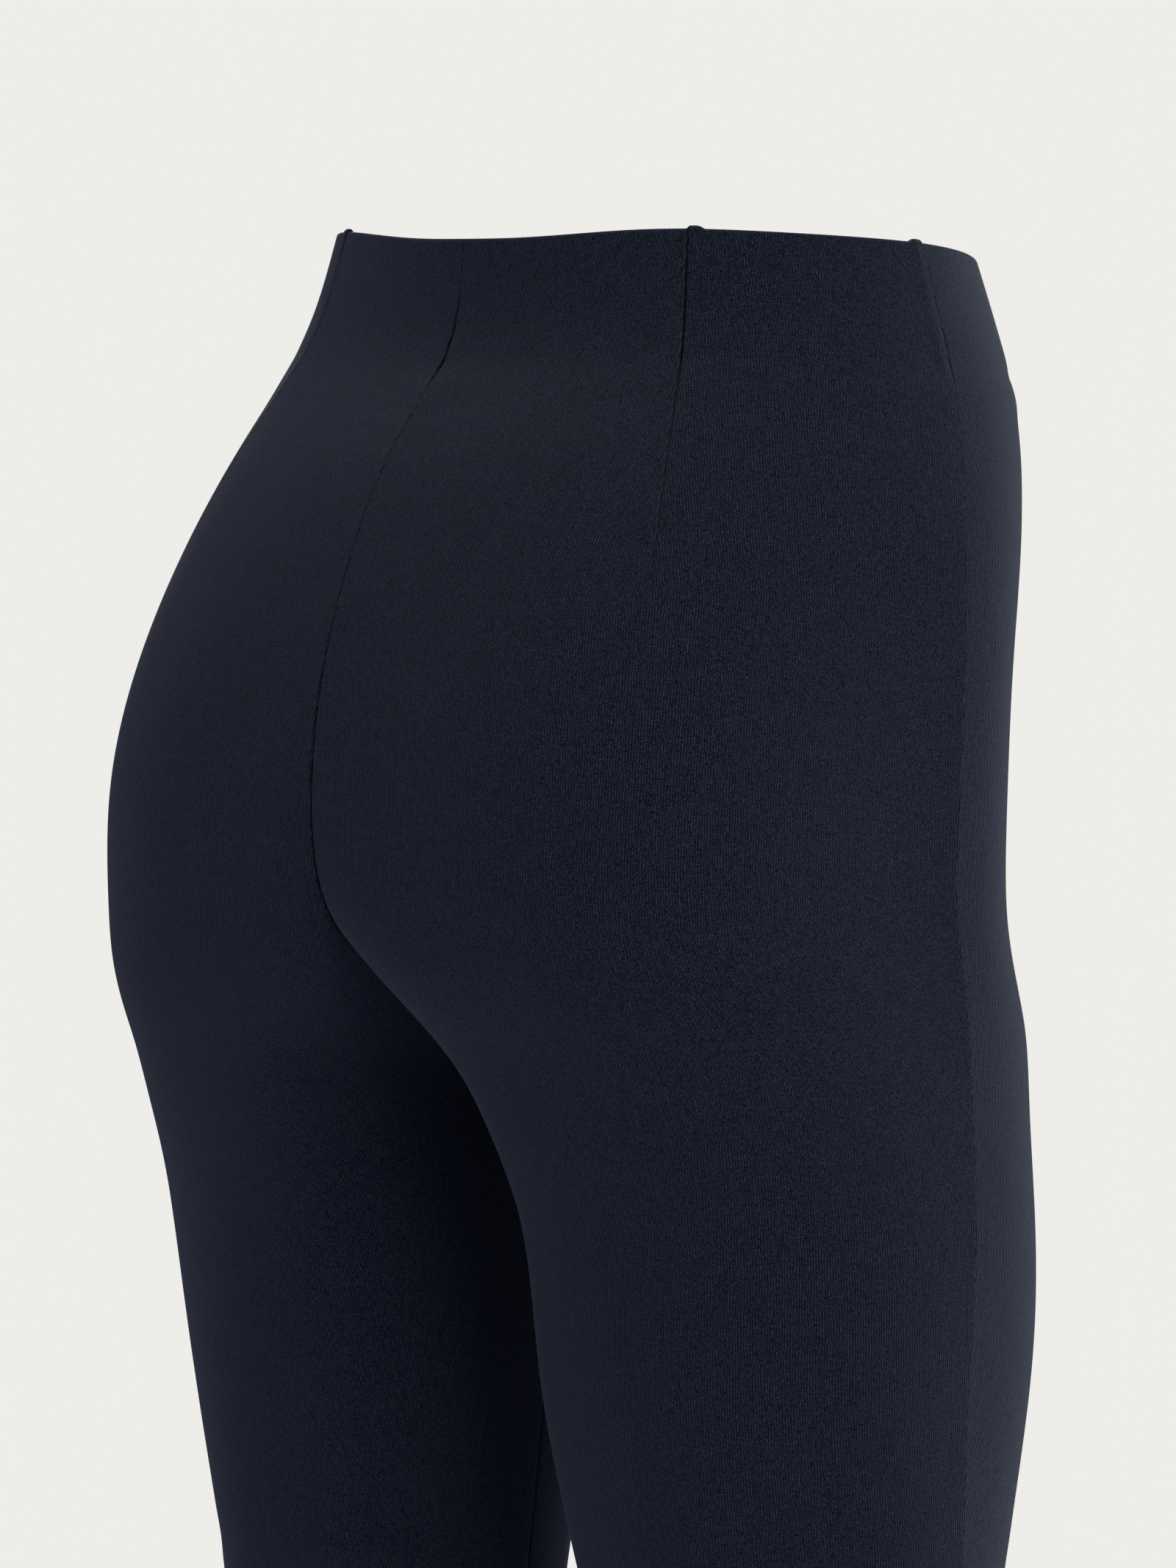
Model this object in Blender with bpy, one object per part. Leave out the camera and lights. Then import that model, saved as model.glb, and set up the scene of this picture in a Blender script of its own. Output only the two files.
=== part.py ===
"""Capri pants of stretch double knit, filled out as when worn, from a high waist to the calf.

Units are metres with +Z up; the tables and sizes below are in millimetres and are scaled once, by MM.
The front faces -Y and the wearer's right side is at -X. The origin is the middle of the waist opening,
at the height of its highest edge. The garment is four leg panels, each cut in one piece from waist to
hem: two fronts, and two backs with one long waist dart each. They meet at the front and back midline,
the side seams and the inseams, with a small gap at every seam. The cloth is doubled at the waist and
at the hems, where it is turned in.

Every level of the garment is one closed loop around a leg, an egg with a bulge at each of its four
corners. Above the crotch the loop is cut off at the midline, which makes the seat and crotch seam.
Only the left half is worked out, at +X, and the right half is its mirror image.
"""

from math import pi, radians, sqrt

import bmesh
import bpy
import numpy as np

MM = 0.001

# Overall sizes
GARMENT_LENGTH = 800.0
CROTCH_DEPTH = 278.0
SEAM_GAP = 0.3

# Cloth: one layer, and the doubled layers turned in at the waist and the hem
CLOTH_THICKNESS = 1.5
TURNED_THICKNESS = 2.6
WAIST_TURN_DEPTH = 40.0
HEM_TURN_DEPTH = 25.0
TURN_STEP = 4.0

# Back dart: its place between the side seam (0) and the fork line (1), and its fold
DART_PLACE = 0.55
DART_LENGTH = 124.0
DART_FOLD_DEPTH = 1.0
DART_HALF_WIDTH = 4.0
DART_SPREAD = 0.25

KNIT_COLOUR = (0.0125, 0.0155, 0.025, 1.0)
KNIT_ROUGHNESS = 0.9

# Signs of the two kinds of panel: the front lies at -Y of the side seam and the back at +Y
FRONT, BACK = -1, 1

# One row per level of the left half. The loop's centre, and its reach to the outer side, to the
# midline, to the front and to the back. Height 0 is the waist edge.
SECTION_COLUMNS = ("height", "centre_x", "centre_y", "outer", "inner", "front", "back")
SECTIONS = (
    (0, 0, 2, 128, 128, 96, 97),
    (-40, 0, 4, 141, 141, 102, 104),
    (-70, 3, 7, 149, 146, 105, 124),
    (-105, 8, 13, 155, 148, 109, 138),
    (-150, 14, 19, 154, 144, 104, 148),
    (-200, 24, 24, 147, 126, 97, 150),
    (-240, 40, 28, 133, 88, 92, 143),
    (-262, 56, 30, 119, 72, 90, 134),
    (-278, 67, 31, 107, 67, 89, 125),
    (-290, 72, 32, 103, 58, 89, 118),
    (-310, 78, 33, 97, 62, 88, 109),
    (-340, 84, 34, 92, 64, 87, 97),
    (-400, 91, 35, 82, 68, 82, 86),
    (-480, 97, 34, 69, 63, 67, 73),
    (-560, 98, 37, 63, 61, 62, 65),
    (-680, 98, 44, 61, 59, 61, 62),
    (-800, 97, 48, 58, 57, 58, 58),
)

# One row per level. How far each corner of the loop bulges past a plain egg, in percent, how far the
# side seam turns from the loop's outermost point towards the back, and where the fork line lies, from
# which the cloth runs in between the legs, both in degrees.
CORNER_COLUMNS = (
    "height", "outer_back", "inner_back", "inner_front", "outer_front", "side_turn", "fork_turn",
)
CORNERS = (
    (0, 2, 1, 1, -1, 0, 83),
    (-40, 4, 1, 1, 1, -1, 83),
    (-100, 6, 3, 0, -9, 2, 83),
    (-150, 11, 4, 0, -17, 2, 84),
    (-240, 15, -1, 0, -13, 2, 93),
    (-275, 13, 2, 0, -1, -1, 101),
    (-310, 9, 2, 0, 4, -4, 108),
    (-400, 1, 6, -5, 9, -6, 120),
    (-480, -3, 6, -11, 7, -10, 124),
    (-620, 0, 1, 0, 1, -6, 126),
    (-800, 0, 0, 0, 0, 0, 126),
)
CORNER_SIGNS = {"outer_back": (1, 1), "inner_back": (-1, 1), "inner_front": (-1, -1), "outer_front": (1, -1)}

# One row per place around the half waist, from centre front (-1) over the side seam (0) to centre back
# (1), with how far the waist edge lies there below its highest point.
WAIST_COLUMNS = ("place", "dip")
WAIST_EDGE = (
    (-1.0, 18.0),
    (-0.5, 14.0),
    (-0.2, 8.0),
    (0.0, 4.5),
    (0.3, 1.0),
    (0.57, 0.0),
    (0.75, 1.8),
    (0.88, 2.9),
    (1.0, 3.1),
)
WAIST_DIP_REACH = 140.0

# Grid: columns from the side seam to the fork line and on to the midline, and levels of the rows. The
# rows stand even at the side seam. From FAN_START on they fan out, to crowd at the midline where the
# crotch seam runs level.
CORE_COLUMNS = 7
FORK_COLUMNS = 6
WAIST_ROWS = (0.0, -20.0, -WAIST_TURN_DEPTH, -WAIST_TURN_DEPTH - TURN_STEP, -64.0)
TORSO_ROWS = 12
THIGH_ROWS = 5
THIGH_REACH = 50.0
LEG_ROWS = 11
FAN_START = 0.3

# Working out the loops: steps along an arc, halvings of an angle, and the reach of a normal's tangents
ARC_STEPS = 64
HALVINGS = 40
REACH_DOWN = 0.5
REACH_ALONG = 0.01

SHARP_EDGE = radians(35)


def clear_scene():
    for found in list(bpy.data.objects):
        bpy.data.objects.remove(found, do_unlink=True)


def smooth_step(value):
    value = np.clip(value, 0, 1)
    return value**2 * (3 - 2 * value)


def smooth_curve(knots, values, at):
    """Natural cubic curve through the knots, read at the given places."""
    knots, values, at = (np.asarray(numbers, float) for numbers in (knots, values, at))
    if knots[0] > knots[-1]:
        knots, at = -knots, -at
    count = len(knots)
    step = np.diff(knots)
    slope = np.diff(values) / step
    matrix = np.eye(count)
    load = np.zeros(count)
    for i in range(1, count - 1):
        matrix[i, i - 1 : i + 2] = (step[i - 1], 2 * (step[i - 1] + step[i]), step[i])
        load[i] = 6 * (slope[i] - slope[i - 1])
    bend = np.linalg.solve(matrix, load)
    k = np.clip(np.searchsorted(knots, at, side="right") - 1, 0, count - 2)
    t = at - knots[k]
    start_slope = slope[k] - step[k] * (2 * bend[k] + bend[k + 1]) / 6
    return values[k] + t * start_slope + bend[k] * t**2 / 2 + (bend[k + 1] - bend[k]) * t**3 / (6 * step[k])


def table_curve(columns, table, name, at):
    """A table's named column, read as a smooth curve over the table's first column."""
    rows = np.array(table, float)
    return smooth_curve(rows[:, 0], rows[:, columns.index(name)], at)


def sections_at(heights):
    """The section and corner tables, read at an array of heights."""
    found = {}
    for columns, table in ((SECTION_COLUMNS, SECTIONS), (CORNER_COLUMNS, CORNERS)):
        for name in columns[1:]:
            found[name] = table_curve(columns, table, name, heights)[:, None]
    return found


def loop_at(section, angle):
    """x and y of the loops at an angle: 0 is the outer side, 90 degrees the back, 180 the midline."""
    cosine, sine = np.cos(angle), np.sin(angle)
    outer, inner, front, back = (section[name] for name in ("outer", "inner", "front", "back"))
    x = (outer + inner) / 2 * cosine + (outer - inner) / 2 * cosine**2
    y = (back + front) / 2 * sine + (back - front) / 2 * sine**2
    bulge = 0
    for name, (sign_x, sign_y) in CORNER_SIGNS.items():
        weight = (1 + sign_x * sqrt(2) * cosine) * (1 + sign_y * sqrt(2) * sine) / 4
        bulge = bulge + section[name] / 100 * weight
    swell = 1 + bulge * np.sin(2 * angle) ** 2
    return section["centre_x"] + x * swell, section["centre_y"] + y * swell


def midline_angle(section, heights, sign):
    """Angle at which each loop reaches the midline; below the crotch, the inseam at half a turn."""
    low = np.full((len(heights), 1), pi / 3)
    high = np.full((len(heights), 1), pi)
    for _ in range(HALVINGS):
        middle = (low + high) / 2
        inside = loop_at(section, sign * middle)[0] > 0
        low = np.where(inside, middle, low)
        high = np.where(inside, high, middle)
    return np.where(heights[:, None] > -CROTCH_DEPTH, low, pi)


def arc_point(section, start, end, share):
    """Point at a share of the way along each loop's stretch between two angles, and its length."""
    angles = start + (end - start) * np.linspace(0, 1, ARC_STEPS + 1)
    x, y = loop_at(section, angles)
    travelled = np.cumsum(np.hypot(np.diff(x), np.diff(y)), axis=1)
    travelled = np.concatenate([np.zeros_like(start), travelled], axis=1)
    length = travelled[:, -1:]
    target = share[:, None] * length
    k = np.clip((travelled <= target).sum(axis=1, keepdims=True) - 1, 0, ARC_STEPS - 1)
    before, after = (np.take_along_axis(travelled, index, axis=1) for index in (k, k + 1))
    picked = start + (end - start) * (k + (target - before) / (after - before)) / ARC_STEPS
    return loop_at(section, picked), length[:, 0]


def surface(sign, heights, places):
    """Points of the left half: place 0 is the side seam, 1 the fork line, 2 the midline or inseam.

    A place below 0 or past 2 runs on over the seam, into the panel on its other side.
    """
    heights, places = np.asarray(heights, float), np.asarray(places, float)
    past_side, past_middle = places < 0, places > 2
    above_crotch = heights > -CROTCH_DEPTH
    signs = np.where(past_side | (past_middle & ~above_crotch), -sign, sign)[:, None]
    places = np.where(past_side, -places, np.where(past_middle, 4 - places, places))
    section = sections_at(heights)
    side, fork = (np.radians(section[name]) for name in ("side_turn", "fork_turn"))
    middle = midline_angle(section, heights, signs)
    in_fork = (places > 1)[:, None]
    start = np.where(in_fork, signs * fork, side)
    end = np.where(in_fork, signs * middle, signs * fork)
    (x, y), length = arc_point(section, start, end, np.where(places > 1, places - 1, places))
    core_length = arc_point(section, side, signs * fork, np.ones(len(places)))[1]
    fork_length = arc_point(section, signs * fork, signs * middle, np.ones(len(places)))[1]
    travelled = np.where(places > 1, core_length + (places - 1) * length, places * length)
    around = signs[:, 0] * travelled / (core_length + fork_length)
    dip = table_curve(WAIST_COLUMNS, WAIST_EDGE, "dip", around) * smooth_step(1 + heights / WAIST_DIP_REACH)
    mirror = np.where(past_middle & above_crotch, -1, 1)
    return np.stack([x[:, 0] * mirror, y[:, 0], heights - dip], axis=1), core_length, fork_length


def outward(sign, heights, places):
    """Unit normals that point out of the garment, shared by both sides of every seam."""
    at_crotch = (heights == -CROTCH_DEPTH) & (places >= 2)
    lower = np.where(at_crotch, heights, heights - REACH_DOWN)
    down = surface(sign, lower, places)[0] - surface(sign, heights + REACH_DOWN, places)[0]
    along = surface(sign, heights, places + REACH_ALONG)[0] - surface(sign, heights, places - REACH_ALONG)[0]
    along[at_crotch] = (-1, 0, 0)
    normals = np.cross(down, along) * sign
    return normals / np.linalg.norm(normals, axis=1, keepdims=True)


def row_levels():
    """Levels of the grid's rows at the side seam and at the midline."""
    torso = np.linspace(1, 0, TORSO_ROWS + 1)[1:]
    thigh = np.linspace(0, 1, THIGH_ROWS + 1)[1:]
    top, bottom = -WAIST_ROWS[-1], GARMENT_LENGTH - HEM_TURN_DEPTH
    leg_top = CROTCH_DEPTH + THIGH_REACH
    leg = np.linspace(leg_top, bottom - TURN_STEP, LEG_ROWS)[1:]
    shared_end = [*-leg, -bottom, -GARMENT_LENGTH]
    levels = []
    for power in (1, 2):
        above = -CROTCH_DEPTH + (CROTCH_DEPTH - top) * torso**power
        below = -CROTCH_DEPTH - THIGH_REACH * thigh**power
        levels.append(np.array([*WAIST_ROWS, *above, *below, *shared_end]))
    return levels


def column_places(sign, height):
    """Places of the grid's columns at a level, with a close trio at the dart on a back panel."""
    core = np.linspace(0, 1, CORE_COLUMNS + 1)
    if sign == BACK:
        width = surface(sign, [height], [0.5])[1][0]
        below_dart = max(0.0, -height - DART_LENGTH)
        half = min((DART_HALF_WIDTH + below_dart * DART_SPREAD) / width, 0.5 / CORE_COLUMNS)
        outer_side = np.linspace(0, DART_PLACE - half, (CORE_COLUMNS + 1) // 2 + 1)
        inner_side = np.linspace(DART_PLACE + half, 1, (CORE_COLUMNS + 1) // 2 + 1)
        core = np.concatenate([outer_side, [DART_PLACE], inner_side])
    return np.concatenate([core, np.linspace(1, 2, FORK_COLUMNS + 1)[1:]])


def dart_fold(heights, places):
    """Depth of the dart's fold, which runs out at its tip."""
    return DART_FOLD_DEPTH * np.sqrt(np.clip(1 + heights / DART_LENGTH, 0, 1)) * (places == DART_PLACE)


def wall(heights):
    """Thickness of the cloth: doubled where it is turned in."""
    at_waist = np.clip((heights + WAIST_TURN_DEPTH + TURN_STEP) / TURN_STEP, 0, 1)
    at_hem = np.clip((HEM_TURN_DEPTH + TURN_STEP - GARMENT_LENGTH - heights) / TURN_STEP, 0, 1)
    return CLOTH_THICKNESS + (TURNED_THICKNESS - CLOTH_THICKNESS) * np.maximum(at_waist, at_hem)


def panel_grids(sign):
    """Outer and inner faces of a panel of the left half, as grids of points in metres."""
    side_levels, middle_levels = row_levels()
    outer, inner = [], []
    for side_level, middle_level in zip(side_levels, middle_levels):
        places = column_places(sign, side_level)
        heights = side_level + (middle_level - side_level) * smooth_step(places - FAN_START)
        normals = outward(sign, heights, places)
        core_length, fork_length = surface(sign, heights, places)[1:]
        inset = places.copy()
        inset[0] = SEAM_GAP / 2 / core_length[0]
        if heights[-1] <= -CROTCH_DEPTH:
            inset[-1] = 2 - SEAM_GAP / 2 / fork_length[-1]
        row = surface(sign, heights, inset)[0]
        if sign == BACK:
            row -= normals * dart_fold(heights, places)[:, None]
        under = row - normals * wall(heights)[:, None]
        for grid, points in ((outer, row), (inner, under)):
            points[:, 0] = np.maximum(points[:, 0], SEAM_GAP / 2)
            grid.append(points * MM)
    return np.array(outer), np.array(inner)


def lofted_wall(name, outer, inner, reverse):
    """Closed solid between two grids: both faces and a rim all round."""
    shape = bmesh.new()
    out, back = ([[shape.verts.new(point) for point in row] for row in grid] for grid in (outer, inner))
    rows, columns = outer.shape[:2]

    def quad(a, b, c, d):
        shape.faces.new((d, c, b, a) if reverse else (a, b, c, d))

    for i in range(rows - 1):
        for j in range(columns - 1):
            quad(out[i][j], out[i + 1][j], out[i + 1][j + 1], out[i][j + 1])
            quad(back[i][j], back[i][j + 1], back[i + 1][j + 1], back[i + 1][j])
        quad(out[i][0], back[i][0], back[i + 1][0], out[i + 1][0])
        quad(out[i][-1], out[i + 1][-1], back[i + 1][-1], back[i][-1])
    for j in range(columns - 1):
        quad(out[0][j], out[0][j + 1], back[0][j + 1], back[0][j])
        quad(out[-1][j], back[-1][j], back[-1][j + 1], out[-1][j + 1])
    mesh = bpy.data.meshes.new(name)
    shape.to_mesh(mesh)
    shape.free()
    mesh.shade_smooth()
    mesh.set_sharp_from_angle(angle=SHARP_EDGE)
    return bpy.data.objects.new(name, mesh)


def knit_material():
    material = bpy.data.materials.new("navy_knit")
    material.use_nodes = True
    shader = material.node_tree.nodes["Principled BSDF"]
    shader.inputs["Base Color"].default_value = KNIT_COLOUR
    shader.inputs["Roughness"].default_value = KNIT_ROUGHNESS
    shader.inputs["Metallic"].default_value = 0.0
    return material


def build_pants():
    clear_scene()
    collection = bpy.data.collections.new("capri_pants")
    bpy.context.scene.collection.children.link(collection)
    knit = knit_material()
    for kind, sign in (("front", FRONT), ("back", BACK)):
        outer, inner = panel_grids(sign)
        for side, flip in (("left", 1), ("right", -1)):
            mirror = np.array((flip, 1, 1))
            piece = lofted_wall(f"{kind}_{side}", outer * mirror, inner * mirror, sign * flip < 0)
            piece.data.materials.append(knit)
            collection.objects.link(piece)


build_pants()
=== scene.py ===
"""Looks of the capri pants: four leg panels of navy double knit, filled out as when worn.

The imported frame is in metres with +Z up, the front at -Y and the wearer's left at +X. The tables and
sizes below are in millimetres and are scaled once, by MM. Each panel is a thin closed shell on the form
of its CAD solid: the outer and inner face meet in a rolled fold at the waist and at the hem, and the
edges roll into the seams. Seams, darts and creases push the cloth in or out along its normals. The
cloth's grain, in metres across and along the wales, is kept as UVs for the knit's pattern.
"""

from math import atan2, cos, pi, radians, sin, sqrt

import bpy
import numpy as np
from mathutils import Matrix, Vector


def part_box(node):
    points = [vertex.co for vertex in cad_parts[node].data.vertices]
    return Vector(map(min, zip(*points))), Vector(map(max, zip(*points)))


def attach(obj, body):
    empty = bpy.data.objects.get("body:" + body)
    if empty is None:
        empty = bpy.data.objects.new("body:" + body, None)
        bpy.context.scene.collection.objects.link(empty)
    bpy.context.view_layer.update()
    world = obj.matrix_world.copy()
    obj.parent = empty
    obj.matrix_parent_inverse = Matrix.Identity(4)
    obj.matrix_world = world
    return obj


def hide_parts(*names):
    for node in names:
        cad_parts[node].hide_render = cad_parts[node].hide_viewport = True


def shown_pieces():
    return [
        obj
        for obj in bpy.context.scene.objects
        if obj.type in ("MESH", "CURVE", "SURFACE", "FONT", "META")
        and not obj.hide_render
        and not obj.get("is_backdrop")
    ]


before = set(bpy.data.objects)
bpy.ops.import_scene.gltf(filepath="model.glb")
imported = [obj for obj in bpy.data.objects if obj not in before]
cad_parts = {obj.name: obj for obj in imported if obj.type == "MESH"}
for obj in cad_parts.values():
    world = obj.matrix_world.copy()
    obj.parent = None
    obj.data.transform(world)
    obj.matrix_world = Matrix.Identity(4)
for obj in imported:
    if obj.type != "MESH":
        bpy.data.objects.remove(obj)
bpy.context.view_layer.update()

MM = 0.001

# ---- Form of the garment, as in the CAD source apart from a rounder crotch ----

CROTCH_DEPTH = 278.0
GARMENT_LENGTH = -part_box("back_left")[0].z / MM

CLOTH_THICKNESS = 1.5
TURNED_THICKNESS = 2.6
WAIST_TURN_DEPTH = 40.0
HEM_TURN_DEPTH = 25.0
TURN_STEP = 4.0
LEAST_THICKNESS = 0.4

DART_LENGTH = 124.0

# Place of the back dart between the side seam (0) and the fork line (1): the two were not sewn quite alike
DART_COLUMNS = ("height", "left", "right")
DART_LINE = (
    (0, 0.600, 0.539),
    (-20, 0.582, 0.553),
    (-40, 0.577, 0.558),
    (-75, 0.573, 0.552),
    (-124, 0.556, 0.546),
    (-150, 0.550, 0.545),
)

FRONT, BACK = -1, 1

# Loops round one leg and its half of the hips: the middle, and the reach from it to each side
SECTION_COLUMNS = ("height", "centre_x", "centre_y", "outer", "inner", "front", "back")
SECTIONS = (
    (0, 0, 2, 128, 128, 96, 97),
    (-40, 0, 4, 141, 141, 102, 104),
    (-70, 3, 7, 149, 146, 105, 124),
    (-105, 8, 13, 155, 148, 109, 138),
    (-150, 14, 19, 154, 144, 104, 148),
    (-200, 24, 24, 147, 126, 97, 150),
    (-240, 40, 28, 133, 88, 92, 143),
    (-262, 56, 30, 119, 72, 90, 134),
    (-278, 67, 31, 108, 67, 89, 125),
    (-290, 72, 32, 103, 62, 89, 118),
    (-310, 78, 33, 97, 62, 88, 109),
    (-340, 84, 34, 92, 64, 87, 97),
    (-400, 91, 35, 82, 68, 82, 86),
    (-480, 97, 34, 69, 63, 67, 73),
    (-560, 98, 37, 63, 61, 62, 65),
    (-680, 98, 44, 61, 59, 61, 62),
    (-800, 97, 48, 58, 57, 58, 58),
)

# Corners of the loops in hundredths of their size, and turns of the side seam and the fork line in degrees
CORNER_COLUMNS = (
    "height", "outer_back", "inner_back", "inner_front", "outer_front", "side_turn", "fork_turn",
)
CORNERS = (
    (0, 2, 1, 1, -1, 0, 83),
    (-40, 4, 1, 1, 1, -1, 83),
    (-100, 6, 3, 0, -9, 2, 83),
    (-150, 11, 4, 0, -17, 2, 84),
    (-240, 15, -1, 0, -13, 2, 93),
    (-275, 13, 2, 0, -1, -1, 101),
    (-310, 9, 2, 0, 4, -4, 108),
    (-400, 1, 6, -5, 9, -6, 120),
    (-480, -3, 6, -11, 7, -10, 124),
    (-620, 0, 1, 0, 1, -6, 126),
    (-800, 0, 0, 0, 0, 0, 126),
)
CORNER_SIGNS = {"outer_back": (1, 1), "inner_back": (-1, 1), "inner_front": (-1, -1), "outer_front": (1, -1)}

# Dip of the waist edge, from the front middle (-1) past the side seam (0) to the back middle (1)
WAIST_COLUMNS = ("place", "dip")
WAIST_EDGE = (
    (-1.0, 18.0),
    (-0.5, 14.0),
    (-0.2, 8.0),
    (0.0, 4.5),
    (0.3, 1.0),
    (0.57, 0.0),
    (0.75, 1.8),
    (0.88, 2.9),
    (1.0, 3.1),
)

# How far down the dip is felt, how far the close rows reach below the crotch, and where rows start to fan
WAIST_DIP_REACH = 140.0
THIGH_REACH = 50.0
FAN_START = 0.3

# Accuracy of the arc lengths and of the midline's angle
ARC_STEPS = 40
HALVINGS = 24

# ---- Fine grid of each panel: rows down the cloth, columns across it ----

# Turns of the rows in the rolled fold, distances of the columns beside a seam or dart, and the lap
FOLD_ANGLES = (90, 58, 32, 12)
SEAM_STEPS = (0.05, 0.15, 0.35, 0.7, 1.1, 1.6, 2.3, 3.2, 4.4, 6.0, 8.2)
SEAM_LAP = 0.2

# Even rows down to the top level, then rows to the crotch, rows below it, and even rows down the legs
WAIST_ROW_STEP = 2.2
TORSO_ROWS = 82
THIGH_ROWS = 20
LEG_ROW_STEP = 2.7
TOP_LEVEL = -64.0

# Columns from the side seam to the fork line, the share of them before the dart, columns from there to
# the midline, and the rounds in which they settle
CORE_STEPS = 58
DART_SHARE = 0.55
FORK_STEPS = 34
PLACE_ROUNDS = 3

# ---- Seams, darts and creases ----

# Roll of the cloth's edges into a seam: how deep the edge goes, by depth below the waist
ROLL_COLUMNS = ("height", "waist_seam", "side_seam", "dart")
SEAM_ROLLS = (
    (0, 0.15, 0.15, 0.3),
    (-20, 0.2, 0.2, 0.35),
    (-36, 0.45, 0.25, 0.4),
    (-44, 0.6, 0.25, 0.4),
    (-52, 0.15, 0.1, 0.3),
    (-90, 0.15, 0.1, 0.25),
    (-124, 0.2, 0.1, 0.25),
    (-180, 0.35, 0.15, 0.3),
    (-270, 0.4, 0.15, 0.4),
    (-800, 0.3, 0.15, 0.4),
)

# Narrow slit where two edges meet in a seam or dart, by depth below the waist; its depth also sets the
# painted shadow in the slit
SLIT_COLUMNS = ("height", "waist_seam", "side_seam", "dart")
SLITS = (
    (0, 0.0, 0.0, 1.2),
    (-16, 0.1, 0.0, 1.8),
    (-28, 0.4, 0.0, 1.8),
    (-34, 1.3, 0.1, 1.8),
    (-45, 1.5, 0.2, 1.6),
    (-50, 0.1, 0.0, 0.9),
    (-124, 0.15, 0.0, 0.8),
    (-180, 0.5, 0.0, 0.4),
    (-276, 0.6, 0.0, 0.4),
    (-290, 0.1, 0.0, 0.4),
    (-800, 0.1, 0.0, 0.4),
)
SLIT_REACH = 0.7
# Slit depth in mm at which the painted shadow in the slit is at its fullest
SLIT_FOR_FULL_SHADOW = 1.6

# Shallow dip beside a rolled edge, in shares of the roll, and how steeply a lapped edge goes under
ROLL_DIP, ROLL_DIP_REACH = 0.25, 3.2
LAP_SLOPE = 2

# Ridges along the seams, by depth below the waist: how far the cloth stands out at the seam
RIDGE_COLUMNS = ("height", "side", "dart", "middle")
RIDGES = (
    (0, 0.2, 0.2, 0.0),
    (-44, 0.3, 0.3, 0.1),
    (-60, 0.2, 0.5, 0.35),
    (-85, 0.3, 0.45, 0.4),
    (-130, 0.9, 0.4, 0.35),
    (-180, 1.1, 0.3, 0.25),
    (-250, 1.1, 0.0, 0.0),
    (-340, 0.8, 0.0, 0.0),
    (-800, 0.4, 0.0, 0.0),
)
RIDGE_REACH = 10.0

# Smaller relief beside the seams: a welt behind the side seam where the waist is turned in, and a step at
# the dart, whose intake is pressed towards the side
TURN_WELT, TURN_WELT_PLACE, TURN_WELT_WIDTH = 0.3, 3.6, 2.0
DART_STEP, DART_STEP_REACH = 0.2, 3.0
DART_WELT, DART_WELT_PLACE, DART_WELT_WIDTH = 0.2, 3.0, 1.6
DART_FADE, DART_POINT = 6.0, 40.0

# Soft creases of the worn cloth, pressed in (-) or standing out (+), from one place on a panel to another
CREASE_COLUMNS = ("side", "panel", "place", "height", "end_place", "end_height", "bow", "width", "depth")
CREASES = (
    # crotch and front thighs: short drag lines that fan out from the crotch
    ("left", FRONT, 1.9, -262, 0.9, -222, 6, 9, -0.9),
    ("right", FRONT, 1.88, -258, 1.0, -210, 5, 9, -0.8),
    ("left", FRONT, 1.95, -275, 0.75, -268, -5, 11, -0.8),
    ("right", FRONT, 1.95, -272, 0.6, -272, -7, 10, -1.0),
    ("left", FRONT, 1.7, -300, 0.9, -345, 5, 12, 0.7),
    ("right", FRONT, 1.75, -305, 0.8, -362, 7, 12, 0.6),
    # under the seat
    ("left", BACK, 1.9, -300, 0.9, -318, -8, 12, -0.9),
    ("right", BACK, 1.9, -306, 1.15, -322, -7, 11, -0.6),
    ("left", BACK, 1.8, -318, 1.0, -345, -6, 14, 0.6),
    # behind the knees
    ("left", BACK, 0.25, -468, 1.7, -478, -9, 9, -1.1),
    ("left", BACK, 0.4, -492, 1.5, -487, 7, 8, -0.8),
    ("left", BACK, 0.3, -480, 1.55, -480, 5, 12, 0.7),
    ("right", BACK, 0.3, -474, 1.6, -466, -8, 9, -1.0),
    ("right", BACK, 0.2, -497, 1.4, -501, 8, 9, -0.9),
    ("right", BACK, 0.4, -485, 1.5, -486, 4, 13, 0.8),
    # front of the knees, and behind the calves
    ("left", FRONT, 0.2, -455, 1.2, -447, 8, 14, 0.6),
    ("right", FRONT, 0.3, -462, 1.3, -458, 9, 13, 0.7),
    ("left", FRONT, 0.3, -515, 1.4, -524, -6, 11, -0.6),
    ("right", FRONT, 0.35, -521, 1.3, -512, -7, 12, -0.5),
    ("left", BACK, 0.3, -640, 1.6, -676, 9, 16, -0.6),
    ("right", BACK, 0.2, -655, 1.5, -628, -10, 16, -0.6),
    # just above the hems
    ("left", FRONT, 0.1, -748, 1.3, -762, 5, 12, -0.5),
    ("right", FRONT, 0.3, -752, 1.6, -741, -5, 12, -0.5),
)
CREASE_STEPS = 14
CREASE_REACH, CREASE_TAPER = 3, 0.8
CREASE_SEAM_REACH = 1.5

# Slow unevenness of the whole cloth
WAVES = 7
WAVE_SEED = 11
WAVE_LENGTHS = (55, 130)
WAVE_DEPTH = 0.22

# Small steps of the waist edge where a seam or a dart is turned in, from the seam towards the back
NUB_HEIGHT = 1.1
NUB_WIDTH = 4.6
NUB_REACH = 3.5
NUB_EDGE = 1.2

# Swell of the turned-in waist, and dent where the turned-in hem ends
TURN_RIDGE = 0.1
HEM_DENT, HEM_DENT_WIDTH = 0.14, 2.5

# Kink where the turned-in waist ends: the cloth dents in, then swells out below, most at the front, with a
# share of it at the back and at the back middle
KINK_COLUMNS = ("height", "width", "depth")
KINKS = (
    (-42, 3.0, -0.4),
    (-52, 6.0, 0.6),
)
KINK_AT_BACK, KINK_AT_MIDDLE, KINK_END = 0.2, 0.6, 0.5
KINK_REACH = 14.0

# Lift of the waist edge above the CAD solids' edge, and how far down it fades
EDGE_LIFT, EDGE_LIFT_REACH = 1.2, 30.0

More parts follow.
